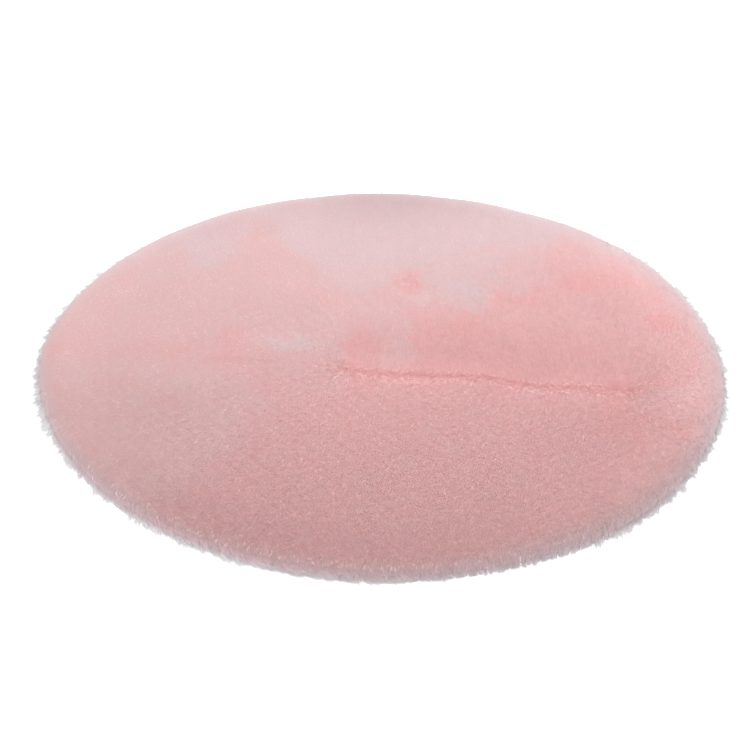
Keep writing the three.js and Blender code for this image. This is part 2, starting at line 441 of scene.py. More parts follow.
def depth_inside(x, y, outline):
    """How deep each point lies inside a closed outline, less than nought outside: the distance to its
    nearest side, with the sign from how many sides a line towards +x crosses."""
    nearest = np.full_like(x, np.inf)
    inside = np.zeros(x.shape, bool)
    for (from_x, from_y), (to_x, to_y) in zip(outline, np.roll(outline, -1, axis=0)):
        run_x = to_x - from_x
        run_y = to_y - from_y
        share = np.clip(((x - from_x) * run_x + (y - from_y) * run_y) / (run_x**2 + run_y**2), 0, 1)
        nearest = np.minimum(nearest, np.hypot(x - from_x - share * run_x, y - from_y - share * run_y))
        if run_y != 0:
            crosses = (from_y > y) != (to_y > y)
            inside ^= crosses & (x < from_x + run_x * (y - from_y) / run_y)
    return np.where(inside, nearest, -nearest)


def dense_radius(bearing):
    """The dense rim's radius at a bearing: a circle, swelled by a few cosines."""
    radius = np.full_like(bearing, DENSE_RADIUS)
    for times, size, peak in OUTLINE_SWELLS:
        radius += size * MM * np.cos(times * (bearing - math.radians(peak)))
    return radius


def round_rim(x, y, column):
    """A column of RIM_ROUND at the bearing of a place."""
    return np.interp(np.degrees(np.arctan2(y, x)), RIM_ROUND["bearing"], RIM_ROUND[column], period=360)


def behind_fold(x, y):
    """How far a point lies behind the fold, which runs straight from row to row of FOLD."""
    return y - np.interp(x, FOLD[:, 0], FOLD[:, 1])


def fold_strength(x):
    """How much of the fold shows: most along its right part, little along its left, none past its ends."""
    return np.interp(x, FOLD_SHOWS[:, 0] * MM, FOLD_SHOWS[:, 1])


def fold_band(x, y, band, wander=0.0):
    """What a band along the fold adds at a point: its amount times how much of the fold shows times a bump
    across it. Wander is how far the band is moved forwards there."""
    middle, reach, amount = band
    return amount * fold_strength(x) * bump(behind_fold(x, y) + wander - middle * MM, reach * MM)


def pile_side(x, y):
    """Nought in front of the fold and one behind it: a sharp step along the fold, a slow change past its
    ends."""
    half = SIDE_CHANGE + SIDE_SOFTER * (1 - fold_strength(x))
    return smooth_step(-half, half, behind_fold(x, y))


def near_an_end(x, y):
    """One at either end of the parting, where the pile fans out, and nought off it."""
    behind = behind_fold(x, y)
    return sum(bump(np.hypot(x - end, behind), PARTING_END) for end in PARTING)


def bare_roots(x, y):
    """How far the pile parts: one along the parting and at its ends, and nought off it."""
    return np.maximum(fold_band(x, y, BARE_ROOTS), near_an_end(x, y))


def pile_top(x, y, relief=1.0):
    """Floor to the top of the pile: its mean depth, low waves, dips, the lower brushed half and the fold's
    trough and lip. Relief is how much of the waves, the trough and the lip to count."""
    top = np.full_like(x, PILE_DEEP)
    for crest_to_crest, size, bearing, start in WAVES:
        turn = math.radians(bearing)
        along = x * math.cos(turn) + y * math.sin(turn)
        top += relief * size * MM * np.sin(2 * np.pi * along / (crest_to_crest * MM) + start)
    for dip_x, dip_y, across, deep in DIPS:
        top -= deep * MM * bump(np.hypot(x - dip_x * MM, y - dip_y * MM), across * MM)
    top -= BRUSHED_DROP * pile_side(x, y)
    return top + relief * MM * (fold_band(x, y, TROUGH) + fold_band(x, y, LIP))


def brushed_back(x, y):
    """How far the pile is brushed back at a point, which takes its colour from deep, painted shade, to pale,
    painted sheen: the fold's two sides, places and marks with ragged edges, the bands along the fold, and
    mottling."""
    ragged_x = x + MM * mottle(x, y, RAGGED_X)
    ragged_y = y + MM * mottle(x, y, RAGGED_Y)
    brushed = BRUSHED_IN_FRONT + BRUSHED_BEHIND * pile_side(x, y)
    for _, amount, soft, outline in PLACES:
        depth = depth_inside(ragged_x, ragged_y, np.array(outline) * MM)
        brushed += amount * smooth_step(-soft * MM / 2, soft * MM / 2, depth)
    brushed += ovals(ragged_x, ragged_y, MARKS)
    brushed += fold_band(x, y, UPRIGHT_EDGE, MM * mottle(x, y, RAGGED_EDGE))
    brushed += fold_band(x, y, UPRIGHT_BAND) + mottle(x, y, BRUSHED_MOTTLE)
    return np.clip(brushed, -1, 1.1)


def roughness_of_pile(x, y):
    """How unevenly the pile lies, up to one: combed smooth at the back left, loose at the right and in
    front."""
    return between(ROUGHNESS_LEAST, 1, smooth_step(*ROUGHNESS_RUN, x - 0.7 * y))


def layer_depth(x, y, sizes):
    """How far the locks reach over the underfur: less where the pile is combed smooth."""
    return sizes.layer_deep * between(THINNEST_LAYER, 1, roughness_of_pile(x, y))


def past_top(x, y):
    """How far a place lies past the start of the shoulder, measured along the profile and less than nought
    on the flat top, and the unit vector outwards. Places are given as if the shoulder were unrolled
    flat."""
    radius = np.maximum(np.hypot(x, y), NEAR_NOUGHT)
    return radius - dense_radius(np.arctan2(y, x)) + ROUND_OVER, x / radius, y / radius


def lean(x, y, strayed):
    """Which way the pile leans, as the flat part of a unit vector: away from the nearest point of the
    parting, with mottling, round the swirl, and outwards at the rim. Strayed is how far each lock has
    strayed across the parting, towards the back."""
    away_x = x - np.clip(x, *PARTING)
    away_y = behind_fold(x, y) + strayed
    away = np.hypot(away_x, away_y)
    much = LEAN * between(LEAN_AT_PARTING, 1, smooth_step(0, LEAN_AFTER, away))
    much /= np.maximum(away, NEAR_NOUGHT)
    lean_x = away_x * much + mottle(x, y, LEAN_X_MOTTLE)
    lean_y = away_y * much + mottle(x, y, LEAN_Y_MOTTLE)
    off_x = x - SWIRL[0] * MM
    off_y = y - SWIRL[1] * MM
    reach = SWIRL_WIDER * SWIRL[2] * MM
    swirl = SWIRL_LEAN * bump(np.hypot(off_x, off_y), reach) / reach
    past, out_x, out_y = past_top(x, y)
    outwards = smooth_step(OUTWARDS_FROM, OUTWARDS_AT, past)
    lean_x = between(lean_x - swirl * off_y, LEAN * out_x, outwards)
    lean_y = between(lean_y + swirl * off_x, LEAN * out_y, outwards)
    keep = np.minimum(1, LEAN_MOST / np.maximum(np.hypot(lean_x, lean_y), NEAR_NOUGHT))
    return lean_x * keep, lean_y * keep


def turned_out(x, y, out_x, out_y, outward, upward, relief=1.0):
    """Unit vectors with given parts outwards and upwards, tipped by the slope of the pile's top, which is
    worked out from its heights two millimetres apart."""
    step = 1 * MM
    slope_x = (pile_top(x + step, y, relief) - pile_top(x - step, y, relief)) / (2 * step)
    slope_y = (pile_top(x, y + step, relief) - pile_top(x, y - step, relief)) / (2 * step)
    flat_x = outward * out_x - slope_x * upward
    flat_y = outward * out_y - slope_y * upward
    return unit(np.stack([flat_x, flat_y, upward], axis=-1))


def on_rug(x, y, height):
    """The points that lie at a height over the pile at unrolled places, and the pile's normals there. The
    flat top ends in a quarter of an ellipse down to the floor, which is level again past the dense rim."""
    past, out_x, out_y = past_top(x, y)
    turn = np.clip(past / SHOULDER_LONG, 0, 1) * np.pi / 2
    on_floor = np.maximum(past - SHOULDER_LONG, 0)
    level = smooth_step(0, FLOOR_BEND, on_floor)
    drawn_in = np.where(past > 0, past - ROUND_OVER * np.sin(turn) - on_floor, 0)
    x, y = x - drawn_in * out_x, y - drawn_in * out_y
    normal = turned_out(x, y, out_x, out_y, np.sin(turn) * (1 - level), between(np.cos(turn), 1, level))
    point = np.stack([x, y, pile_top(x, y) * np.cos(turn)], axis=-1)
    return point + height[..., None] * normal, normal


def soft_normal(x, y):
    """The normal that soft pile is shaded by at an unrolled place: its top's, turned outwards round the
    shoulder, and part of the way back up where loose tips lie on the floor."""
    past, out_x, out_y = past_top(x, y)
    tilt = RIM_TILT * smooth_step(RIM_TILT_FROM, SHOULDER_LONG, past)
    tilt *= 1 - FLOOR_TILT_LOST * smooth_step(0, LOCK_REACH, past - SHOULDER_LONG)
    return turned_out(x, y, out_x, out_y, np.sin(tilt), np.cos(tilt), RELIEF_SHADED)


def painted_rim_grey(x, y):
    """How grey and then how white the pile is for its place, painted for the shade low on the shoulder and
    the white floor's light through thin tips: nought inside, rising down the shoulder to one where it meets
    the floor and to two at the ends of the loose tips. It starts further in at the back."""
    past, _, out_y = past_top(x, y)
    down = past - SHOULDER_LONG
    all_grey = GREY_END - GREY_END_EARLIER * np.maximum(out_y, 0)
    return smooth_step(-round_rim(x, y, "grey") * MM, all_grey, down) + smooth_step(*WHITE_RUN, down)


def shading_share(x, y):
    """How light the pile is for its place, mostly from 0 to 1, as painted light and shade: it darkens
    towards the viewer in front of the fold and by broad shades, and lightens low on the shoulder, where the
    fibres let the floor's light through."""
    way_near, darker_near = SHADE_NEAR
    light = SHADE_IN_FRONT + SHADE_BEHIND * pile_side(x, y)
    light += darker_near * smooth_step(0, way_near, -behind_fold(x, y))
    light += fold_band(x, y, LIGHT_BAND) + fold_band(x, y, DARK_BAND) + ovals(x, y, SHADES)
    down = past_top(x, y)[0] - SHOULDER_LONG
    light += RIM_SHADE * round_rim(x, y, "upper") * smooth_step(*UPPER_RIM, down)
    return light + RIM_SHADE * round_rim(x, y, "foot") * smooth_step(*FOOT_OF_RIM, down)


def fold_tufts(x, y, number):
    """How much lighter or darker the pile is by the fold: painted shade in its line, and painted light, tuft
    by tuft, on the tufts in front."""
    bright = np.interp(x, TUFTS_SHOW[:, 0] * MM, TUFTS_SHOW[:, 1])
    bright *= bump(behind_fold(x, y) + TUFTS_BEFORE, TUFTS_BEFORE)
    return fold_band(x, y, CREASE_SHADE_LINE) + 1.2 * bright * (number - 0.2)


def seeded_number(value, size=43758.5453):
    """An even-looking number from 0 to 1 for each value: the fraction of its sine times a large size."""
    mixed = np.sin(value) * size
    return mixed - np.floor(mixed)


def clumped(x, y, size, seed):
    """The middle of each point's clump and a seeded number for the clump: the plane is cut into skewed
    cells with wandering edges, and each cell's middle is moved by a seeded step."""
    warped_x = x + 0.3 * size * blotches(x, y, 4 * size, seed)
    warped_y = y + 0.3 * size * blotches(x, y, 4 * size, seed + 1)
    row = np.floor(warped_y / size)
    column = np.floor(warped_x / size + 0.5 * (row % 2))
    number = seeded_number(column * 127.1 + row * 311.7 + seed)
    other = seeded_number(column * 269.5 + row * 183.3 + seed, 23421.631)
    middle_x = (column + 0.5 - 0.5 * (row % 2)) * size + (number - 0.5) * 0.5 * size + (x - warped_x)
    middle_y = (row + 0.5) * size + (other - 0.5) * 0.5 * size + (y - warped_y)
    return middle_x, middle_y, number


def put_mesh(name, points, faces, corner_uv, marks, normals, material):
    """A piece from whole arrays: points, faces as rows of point numbers, a uv for each corner of each
    face, named values for each point, and normals for each corner of each face, which may be None. It
    rides on the rug's body and stands for its solid."""
    mesh = bpy.data.meshes.new(name)
    mesh.from_pydata(points.astype(np.float32), [], faces.astype(np.int32), shade_flat=False)
    layer = mesh.uv_layers.new(name="OFBake")
    layer.uv.foreach_set("vector", corner_uv.astype(np.float32).ravel())
    for mark, values in marks.items():
        attribute = mesh.attributes.new(mark, "FLOAT", "POINT")
        attribute.data.foreach_set("value", values.astype(np.float32))
    mesh.materials.append(material)
    if normals is not None:
        mesh.normals_split_custom_set(normals.astype(np.float32))
    piece = bpy.data.objects.new(name, mesh)
    bpy.context.scene.collection.objects.link(piece)
    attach(piece, "root")
    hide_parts("rug")
    return piece


# A lock's points are its root, the three of its ring and its tip. Each side has a face to root and to tip
STATION = np.array((0, 1, 1, 1, 2))
RING_TURNS = np.pi / 2 + np.arange(3) * 2 * np.pi / 3
LOCK_FACES = np.array(
    [face for low, beside in ((1, 2), (2, 3), (3, 1)) for face in ((0, beside, low), (low, beside, 4))]
)


def lock_uv():
    """The uv of each corner of a lock's faces in its own cell of 0 to 1: one upright strip for each
    side."""
    root, ring, tip = 0.03, 0.5, 0.97
    corners = []
    for side in range(3):
        left, middle, right = (side + 0.06) / 3, (side + 0.5) / 3, (side + 0.94) / 3
        corners.append(((middle, root), (right, ring), (left, ring)))
        corners.append(((left, ring), (right, ring), (middle, tip)))
    return np.array(corners)


def facing_outwards(corners, normals):
    """Turn each corner's normal, where it points into its own face, just far enough to point out of it: by
    the face's own normal times what its outward part lacks."""
    own = unit(np.cross(corners[:, :, 1] - corners[:, :, 0], corners[:, :, 2] - corners[:, :, 0]))[:, :, None]
    outward = (normals * own).sum(axis=-1, keepdims=True)
    return unit(normals + np.maximum(LEAST_OUTWARDS - outward, 0) * own)


def make_locks(name, locks, own_share, material):
    """One piece of many locks. A ring is a triangle square to its lock's path, with its ridge uppermost
    but for the roll. Each point's normal mixes the ring's own, by own_share, with the pile's soft normal,
    as soft fibres shade together. Each lock has a cell of its own in the uv map."""
    count = len(locks.wide)
    x, y = locks.places[..., 0], locks.places[..., 1]
    path, over = on_rug(x, y, locks.heights)
    path[..., 2] = np.maximum(path[..., 2], locks.rest[:, None])
    along = unit(path[:, 1:] - path[:, :-1])
    tangent = unit(along[:, 1:] + along[:, :-1])
    ridge = unit(over[:, 1:2] - (over[:, 1:2] * tangent).sum(-1, keepdims=True) * tangent)
    roll = locks.roll[:, None, None]
    ridge = np.cos(roll) * ridge + np.sin(roll) * np.cross(ridge, tangent)
    side = np.cross(ridge, tangent)
    turns = RING_TURNS[:, None]
    own = np.cos(turns) * side + np.sin(turns) * ridge * LOCK_THICK
    ring = path[:, 1:2] + own * locks.wide[:, None, None] / 2
    points = np.concatenate([path[:, :1], ring, path[:, 2:]], axis=1)
    points[..., 2] = np.maximum(points[..., 2], LEAST_HEIGHT)
    soft = soft_normal(x, y)[:, STATION]
    own_normals = np.concatenate([soft[:, :1], unit(own), ridge], axis=1)
    normals = unit(own_share * own_normals + (1 - own_share) * soft)
    first_points = np.arange(count)[:, None, None] * len(STATION)
    cells = math.ceil(math.sqrt(count))
    cell = np.stack([np.arange(count) % cells, np.arange(count) // cells], axis=1)
    # Rim is the painted grey and white at the rim; shade is painted shade and light with a random tone
    marks = {
        "along": 1 - locks.buried[:, None] * (1 - STATION / 2),
        "rim": painted_rim_grey(x, y)[:, STATION],
        "brushed": np.repeat(locks.brushed, len(STATION)),
        "shade": np.repeat(locks.shade, len(STATION)),
    }
    return put_mesh(
        name,
        points.reshape(-1, 3),
        (LOCK_FACES + first_points).reshape(-1, 3),
        ((lock_uv() + cell[:, None, None]) / cells).reshape(-1, 2),
        {mark: values.ravel() for mark, values in marks.items()},
        facing_outwards(points[:, LOCK_FACES], normals[:, LOCK_FACES]).reshape(-1, 3),
        material,
    )


def closed_rings(name, points, first_z, last_z, marks, material):
    """A closed mesh from rings x around x 3 points, between a pole at the middle at first_z and one at
    last_z. Its uv has the bearing across and the ring up."""
    rings, around, _ = points.shape
    poles = np.array([[0, 0, first_z], [0, 0, last_z]])
    first, last = np.full(around, rings * around), np.full(around, rings * around + 1)
    number = np.arange(rings * around).reshape(rings, around)
    after = np.roll(number, -1, axis=1)
    left = np.arange(around) / around
    right = left + 1 / around
    middle = (left + right) / 2
    level = np.linspace(0, 1, rings + 2)
    low, high = level[1:-2, None], level[2:-1, None]
    faces, uvs = [], []
    for triangle in (
        ((number[:-1], left, low), (number[1:], left, high), (after[1:], right, high)),
        ((number[:-1], left, low), (after[1:], right, high), (after[:-1], right, low)),
        ((first, middle, level[0]), (number[0], left, level[1]), (after[0], right, level[1])),
        ((last, middle, level[-1]), (after[-1], right, level[-2]), (number[-1], left, level[-2])),
    ):
        corners = [np.broadcast_arrays(*corner) for corner in triangle]
        faces.append(np.stack([corner for corner, _, _ in corners], axis=-1).reshape(-1, 3))
        uvs.append(np.stack([np.stack(uv, axis=-1) for _, *uv in corners], axis=-2).reshape(-1, 2))
    at_poles = {mark: [values[0].mean(), values[-1].mean()] for mark, values in marks.items()}
    return put_mesh(
        name,
        np.concatenate([points.reshape(-1, 3), poles]),
        np.concatenate(faces),
        np.concatenate(uvs),
        {mark: np.append(values.ravel(), at_poles[mark]) for mark, values in marks.items()},
        None,
        material,
    )


def add_node(tree, kind, inputs=None, **settings):
    """Add a node, set its own settings, and give each input a value or a link."""
    node = tree.nodes.new(kind)
    for setting, value in settings.items():
        setattr(node, setting, value)
    for key, value in (inputs or {}).items():
        if isinstance(value, bpy.types.NodeSocket):
            tree.links.new(value, node.inputs[key])
        else:
            node.inputs[key].default_value = value
    return node


def worked_out(tree, operation, *values, clamp=False):
    """What a Math node makes of its values."""
    return add_node(
        tree, "ShaderNodeMath", dict(enumerate(values)), operation=operation, use_clamp=clamp
    ).outputs[0]


def remapped(tree, value, come_from, go_to, clamp=True):
    """A value between the two ends that it comes from, moved to between the two that it goes to."""
    ends = {"From Min": come_from[0], "From Max": come_from[1], "To Min": go_to[0], "To Max": go_to[1]}
    return add_node(tree, "ShaderNodeMapRange", {"Value": value, **ends}, clamp=clamp).outputs[0]


def mixed_colour(tree, share, first, second):
    """The first colour at a share of nought and the second at one. Each is a link or three values."""
    ends = [end if isinstance(end, bpy.types.NodeSocket) else (*end, 1) for end in (first, second)]
    inputs = {"Factor": share, "A": ends[0], "B": ends[1]}
    return add_node(tree, "ShaderNodeMix", inputs, data_type="RGBA").outputs["Result"]


def new_group(name, inputs, outputs):
    """A shader node group with its sockets, given by name and kind, and the outputs of its entry node."""
    group = bpy.data.node_groups.new(name, "ShaderNodeTree")
    for in_out, sockets in (("INPUT", inputs), ("OUTPUT", outputs)):
        for socket, kind in sockets.items():
            group.interface.new_socket(socket, in_out=in_out, socket_type="NodeSocket" + kind)
    return group, add_node(group, "NodeGroupInput").outputs


def new_material(name, roughness, sheen, specular):
    """A material with a Principled shader whose constants are set on its own sockets."""
    material = bpy.data.materials.new(name)
    material.use_nodes = True
    shader = material.node_tree.nodes["Principled BSDF"]
    for socket, value in (
        ("Roughness", roughness),
        ("Sheen Weight", sheen),
        ("Sheen Roughness", 0.45),
        ("Sheen Tint", (1.0, 0.9, 0.92, 1.0)),
        ("Specular IOR Level", specular),
    ):
        shader.inputs[socket].default_value = value
    return material, shader


def colour_and_bump(tree, shader, base, height, strength, distance):
    """Give a shader its base colour and a bump by a height."""
    raised = add_node(tree, "ShaderNodeBump", {"Strength": strength, "Distance": distance, "Height": height})
    tree.links.new(raised.outputs[0], shader.inputs["Normal"])
    tree.links.new(base, shader.inputs["Base Color"])


def pile_colour_group(colours):
    """The pile's colour: deep, middle or pale by how it is brushed, with soft mottling, where deep is painted
    shade and pale is painted sheen; brighter at the root, as painted light between fibres; grey at the rim
    and white at the loose tips, as painted shade and painted floor light through thin tips; and lighter or
    darker by its painted shade and light and its strands."""
    name = "Pile colour"
    if name in bpy.data.node_groups:
        return bpy.data.node_groups[name]
    values = dict.fromkeys(("Brushed", "Along", "Shade", "Rim", "Strand"), "Float")
    group, entry = new_group(name, {**values, "Where": "Vector"}, {"Colour": "Color"})
    noise = add_node(group, "ShaderNodeTexNoise", {"Vector": entry["Where"], "Scale": 34, "Detail": 3})
    # From deep, with painted shade, to pale, with painted sheen, by how far the pile is brushed back
    mottled = worked_out(group, "MULTIPLY_ADD", noise.outputs["Fac"], 0.4, entry["Brushed"])
    ramp = add_node(group, "ShaderNodeValToRGB", {0: remapped(group, mottled, (-0.8, 1.2), (0, 1))})
    ramp.color_ramp.elements[0].color = (*colours.deep, 1)
    ramp.color_ramp.elements[1].color = (*colours.pale, 1)
    ramp.color_ramp.elements.new(0.5).color = (*colours.middle, 1)
    # Painted light towards the root, for light between the fibres
    rooted = remapped(group, entry["Along"], (0, 0.7), (0.8, 0))
    to_root = mixed_colour(group, rooted, ramp.outputs[0], colours.root)
    # Painted shade and floor light at the rim: grey, more towards the tips, then white at the loose tips
    tipward = remapped(group, entry["Along"], (0, 1), (0.6, 1.1))
    greying = worked_out(group, "MULTIPLY", entry["Rim"], tipward, clamp=True)
    loose = mixed_colour(group, remapped(group, entry["Rim"], (1, 2), (0, 1)), colours.rim, colours.tips)
    to_rim = mixed_colour(group, greying, to_root, loose)
    stranded = worked_out(group, "MULTIPLY_ADD", entry["Strand"], 0.2, entry["Shade"])
    lighter = remapped(group, stranded, (0, 1), (0.86, 1.06), clamp=False)
    shaded = add_node(group, "ShaderNodeHueSaturation", {"Value": lighter, "Color": to_rim})
    most = (0.97, 0.97, 0.97)
    held = add_node(group, "ShaderNodeVectorMath", {0: shaded.outputs[0], 1: most}, operation="MINIMUM")
    add_node(group, "NodeGroupOutput", {"Colour": held.outputs[0]})
    return group


def pile_material(name, colours):
    """Pile: the shared colour, by the piece's own marks, on a rough shader with a soft sheen, with fine
    strands along each lock from a sine across its uv cell."""
    material, shader = new_material(name, roughness=0.85, sheen=0.15, specular=0.1)
    tree = material.node_tree
    cell = add_node(tree, "ShaderNodeUVMap", uv_map="OFBake")
    across = add_node(tree, "ShaderNodeSeparateXYZ", {0: cell.outputs[0]})
    strand = worked_out(
        tree, "SINE", worked_out(tree, "MULTIPLY", across.outputs[0], STRANDS * 2 * math.pi)
    )
    inputs = {"Where": add_node(tree, "ShaderNodeTexCoord").outputs["Object"], "Strand": strand}
    for mark in ("Brushed", "Along", "Shade", "Rim"):
        inputs[mark] = add_node(tree, "ShaderNodeAttribute", attribute_name=mark.lower()).outputs["Fac"]
    group = add_node(tree, "ShaderNodeGroup", inputs, node_tree=pile_colour_group(colours))
    colour_and_bump(tree, shader, group.outputs["Colour"], strand, 0.3, 0.15 * MM)
    return material


def knit_group(colours):
    """Plain knitting by object coordinates: columns of V-shaped stitches, with painted shade in the gaps
    between them. Fold is how far a place lies from its column's middle, from 0 to 0.5. Each leg is highest at
    a fold of
    0.25 and midway between two rows' gaps, where a row climbs with the fold:
    height = (1 - gap^2) (1 - (4 |fold - 0.25|)^4)."""
    group, entry = new_group("Knitting", {"Where": "Vector"}, {"Colour": "Color", "Height": "Float"})
    place = add_node(group, "ShaderNodeSeparateXYZ", {0: entry["Where"]})

    def of(operation, *values):
        return worked_out(group, operation, *values)

    def from_middle(value):
        return of("ABSOLUTE", of("SUBTRACT", of("FRACT", value), 0.5))

    fold = from_middle(of("DIVIDE", place.outputs[0], STITCH_WIDE))
    row = of("MULTIPLY_ADD", fold, STITCH_SLANT, of("DIVIDE", place.outputs[1], STITCH_HIGH))
    gap = of("MULTIPLY", from_middle(row), 2.0)
    rounded = of("SUBTRACT", 1.0, of("POWER", gap, 2.0))
    off_leg = of("MULTIPLY", of("ABSOLUTE", of("SUBTRACT", fold, 0.25)), 4.0)
    leg = of("SUBTRACT", 1.0, of("POWER", off_leg, 4.0))
    height = of("MULTIPLY", rounded, leg)
    uneven = add_node(group, "ShaderNodeTexNoise", {"Vector": entry["Where"], "Scale": 40, "Detail": 4})
    # The stitches' height makes the gaps dark with painted shade; the noise is an uneven tone
    light = of("MULTIPLY_ADD", uneven.outputs["Fac"], 0.3, of("MULTIPLY", height, 0.7))
    dark = [STITCH_GAP_SHADE * value for value in colours.ground]
    shaded = mixed_colour(group, light, dark, colours.ground)
    add_node(group, "NodeGroupOutput", {"Colour": shaded, "Height": height})
    return group


def rings_of(radius, bearing, height):
    """Points on rings x around places, at a height."""
    return np.stack([radius * np.cos(bearing), radius * np.sin(bearing), height + 0 * radius], axis=2)


class RUG_OT_ground(bpy.types.Operator):
    """Make the thin knitted ground cloth that the pile stands in"""

    bl_idname = "rug.ground"
    bl_label = "Ground cloth"

    def execute(self, context):
        """Its rings run from the middle of the top out, down the cut edge and back under to the middle."""
        sizes, colours = context.scene.rug_sizes, context.scene.rug_colours
        material, shader = new_material("Knitted ground", roughness=0.9, sheen=0.1, specular=0.2)
        tree = material.node_tree
        where = add_node(tree, "ShaderNodeTexCoord").outputs["Object"]
        knit = add_node(tree, "ShaderNodeGroup", {"Where": where}, node_tree=knit_group(colours))
        colour_and_bump(tree, shader, knit.outputs["Colour"], knit.outputs["Height"], 0.4, 0.4 * MM)
        around, rings = 240, 10
        bearing = np.linspace(0, 2 * np.pi, around, endpoint=False)
        edge = dense_radius(bearing) - GROUND_INSET
        share = np.linspace(0, 1, rings + 1)[1:]
        radius = np.concatenate([share, share[::-1]])[:, None] * edge
        level = np.concatenate([np.full(rings, sizes.ground_thick), np.zeros(rings)])[:, None]
        points = rings_of(radius, bearing, level)
        piece = closed_rings("ground_cloth", points, sizes.ground_thick, 0.0, {}, material)
        return {"FINISHED"}


class RUG_OT_underfur(bpy.types.Operator):
    """Make the dense underfur that fills the pile between its locks"""

    bl_idname = "rug.underfur"
    bl_label = "Underfur"

    def execute(self, context):
        """Its rings run from the top's middle out and down the shoulder, and back over the ground
        cloth."""
        sizes, colours = context.scene.rug_sizes, context.scene.rug_colours
        around, rings = 300, 150
        bearing = np.linspace(0, 2 * np.pi, around, endpoint=False)[None]
        edge = dense_radius(bearing)
        share = np.linspace(0, 1, rings + 1)[1:, None]
        unrolled = share * (edge - ROUND_OVER + UNDERFUR_ENDS * SHOULDER_LONG)
        x = unrolled * np.cos(bearing)
        y = unrolled * np.sin(bearing)
        top, _ = on_rug(x, y, -layer_depth(x, y, sizes) - MM * mottle(x, y, UNDERFUR_LUMPS))
        top[..., 2] = np.maximum(top[..., 2], UNDERFUR_LEAST)
        floor_z = sizes.ground_thick + UNDERFUR_OVER_GROUND
        under_radius = np.array([1.0, 0.66, 0.33])[:, None] * (edge - UNDERFUR_INSET)
        points = np.concatenate([top, rings_of(under_radius, bearing, floor_z)])
        # Where the pile parts, the underfur is painted darker, as shade down in the parting
        parted = UNDERFUR_DARKER * bare_roots(x, y)
        marks = {
            "brushed": brushed_back(x, y),
            "along": 0.3 * roughness_of_pile(x, y) + parted,
            "shade": shading_share(x, y) - 0.5 * parted,
            "rim": painted_rim_grey(x, y),
        }
        under = {mark: np.repeat(values[-1:], len(under_radius), axis=0) for mark, values in marks.items()}
        under["along"] = np.full_like(under["along"], UNDERFUR_ALONG_BELOW)
        marks = {mark: np.concatenate([values, under[mark]]) for mark, values in marks.items()}
        material = pile_material("Underfur", colours)
        closed_rings("underfur", points, float(top[0, :, 2].mean()), floor_z, marks, material)
        return {"FINISHED"}


def spread_roots(pitch, seed, limit):
    """Seeded root places all over the dense pile: rows half a pitch out of step, with each place moved by
    a share of the pitch either way."""
    draw = np.random.default_rng(seed)
    rows = np.arange(-limit, limit, pitch * math.sqrt(3) / 2)
    columns = np.arange(-limit, limit, pitch)
    x, y = np.meshgrid(columns, rows)
    x = x + (np.arange(len(rows)) % 2)[:, None] * pitch / 2
    x = (x + draw.uniform(-ROOT_SCATTER, ROOT_SCATTER, x.shape) * pitch).ravel()
    y = (y + draw.uniform(-ROOT_SCATTER, ROOT_SCATTER, y.shape) * pitch).ravel()
    inside = past_top(x, y)[0] < PILE_ENDS * SHOULDER_LONG
    return x[inside], y[inside], draw


def stations(x, y, across_x, across_y, bend):
    """The places of root, ring and tip: none, a share bend and all of the way across."""
    places = [(x + share * across_x, y + share * across_y) for share in (0, bend, 1)]
    return np.stack([np.stack(place, axis=-1) for place in places], axis=1)


def pile_locks(x, y, sizes, draw):
    """The locks rooted at x, y. A lock rises from the underfur, leans as the pile does there and is drawn
    to the middle of its clump. One that leans towards the viewer is combed down until its tip is back in
    the pile."""
    count = len(x)
    brushed = brushed_back(x, y)
    rough = roughness_of_pile(x, y)
    middle_x, middle_y, number = clumped(x, y, sizes.clump, CLUMP_SEED)
    strayed = STRAY_CLUMP * (number - 0.5) + draw.normal(0, STRAY_LOCK, count)
    lean_x, lean_y = lean(x, y, strayed * (1 + STRAY_AT_END * near_an_end(x, y)))
    lean_x = lean_x + draw.normal(0, LEAN_UNEVEN, count) * rough
    lean_y = lean_y + draw.normal(0, LEAN_UNEVEN, count) * rough
    long = sizes.lock_long * (draw.uniform(*PILE_LONG, count) + 0.15 * (number - 0.5))
    deep = layer_depth(x, y, sizes)
    rise = deep * (draw.uniform(*PILE_RISE, count) + 0.1 * (number - 0.5))
    tucked = smooth_step(0.95, 0.2, lean_y)
    across_x = long * lean_x + sizes.clump_pull * (middle_x - x)
    across_y = long * lean_y + sizes.clump_pull * (middle_y - y)
    ring_high = -deep + rise * (1 - 0.15 * tucked)
    tip_high = -deep + rise * (0.55 - 0.8 * tucked)
    wide = sizes.lock_wide * draw.uniform(*PILE_WIDE, count) * (1 + COMBED_WIDER * (1 - rough))
    sideways = np.abs(lean_y) / np.maximum(np.hypot(lean_x, lean_y), NEAR_NOUGHT)
    roll = draw.normal(0, 0.35, count) * rough * sideways
    # Painted shade and light by place, a random tone by clump and lock, painted sheen, and the fold's marks
    shade = shading_share(x, y) + (0.3 * (number - 0.5) + draw.normal(0, 0.07, count)) * rough
    shade += BRUSHED_SHINE * np.maximum(brushed, 0) + fold_tufts(x, y, number)
    return Locks(
        places=stations(x, y, across_x, across_y, 0.4 + 0.15 * tucked),
        heights=np.stack([-deep - sizes.layer_deep, ring_high, tip_high], axis=1),
        wide=wide,
        rest=np.full(count, PILE_REST),
        roll=roll,
        buried=1 - 0.9 * bare_roots(x, y),
        brushed=brushed,
        shade=shade,
    )


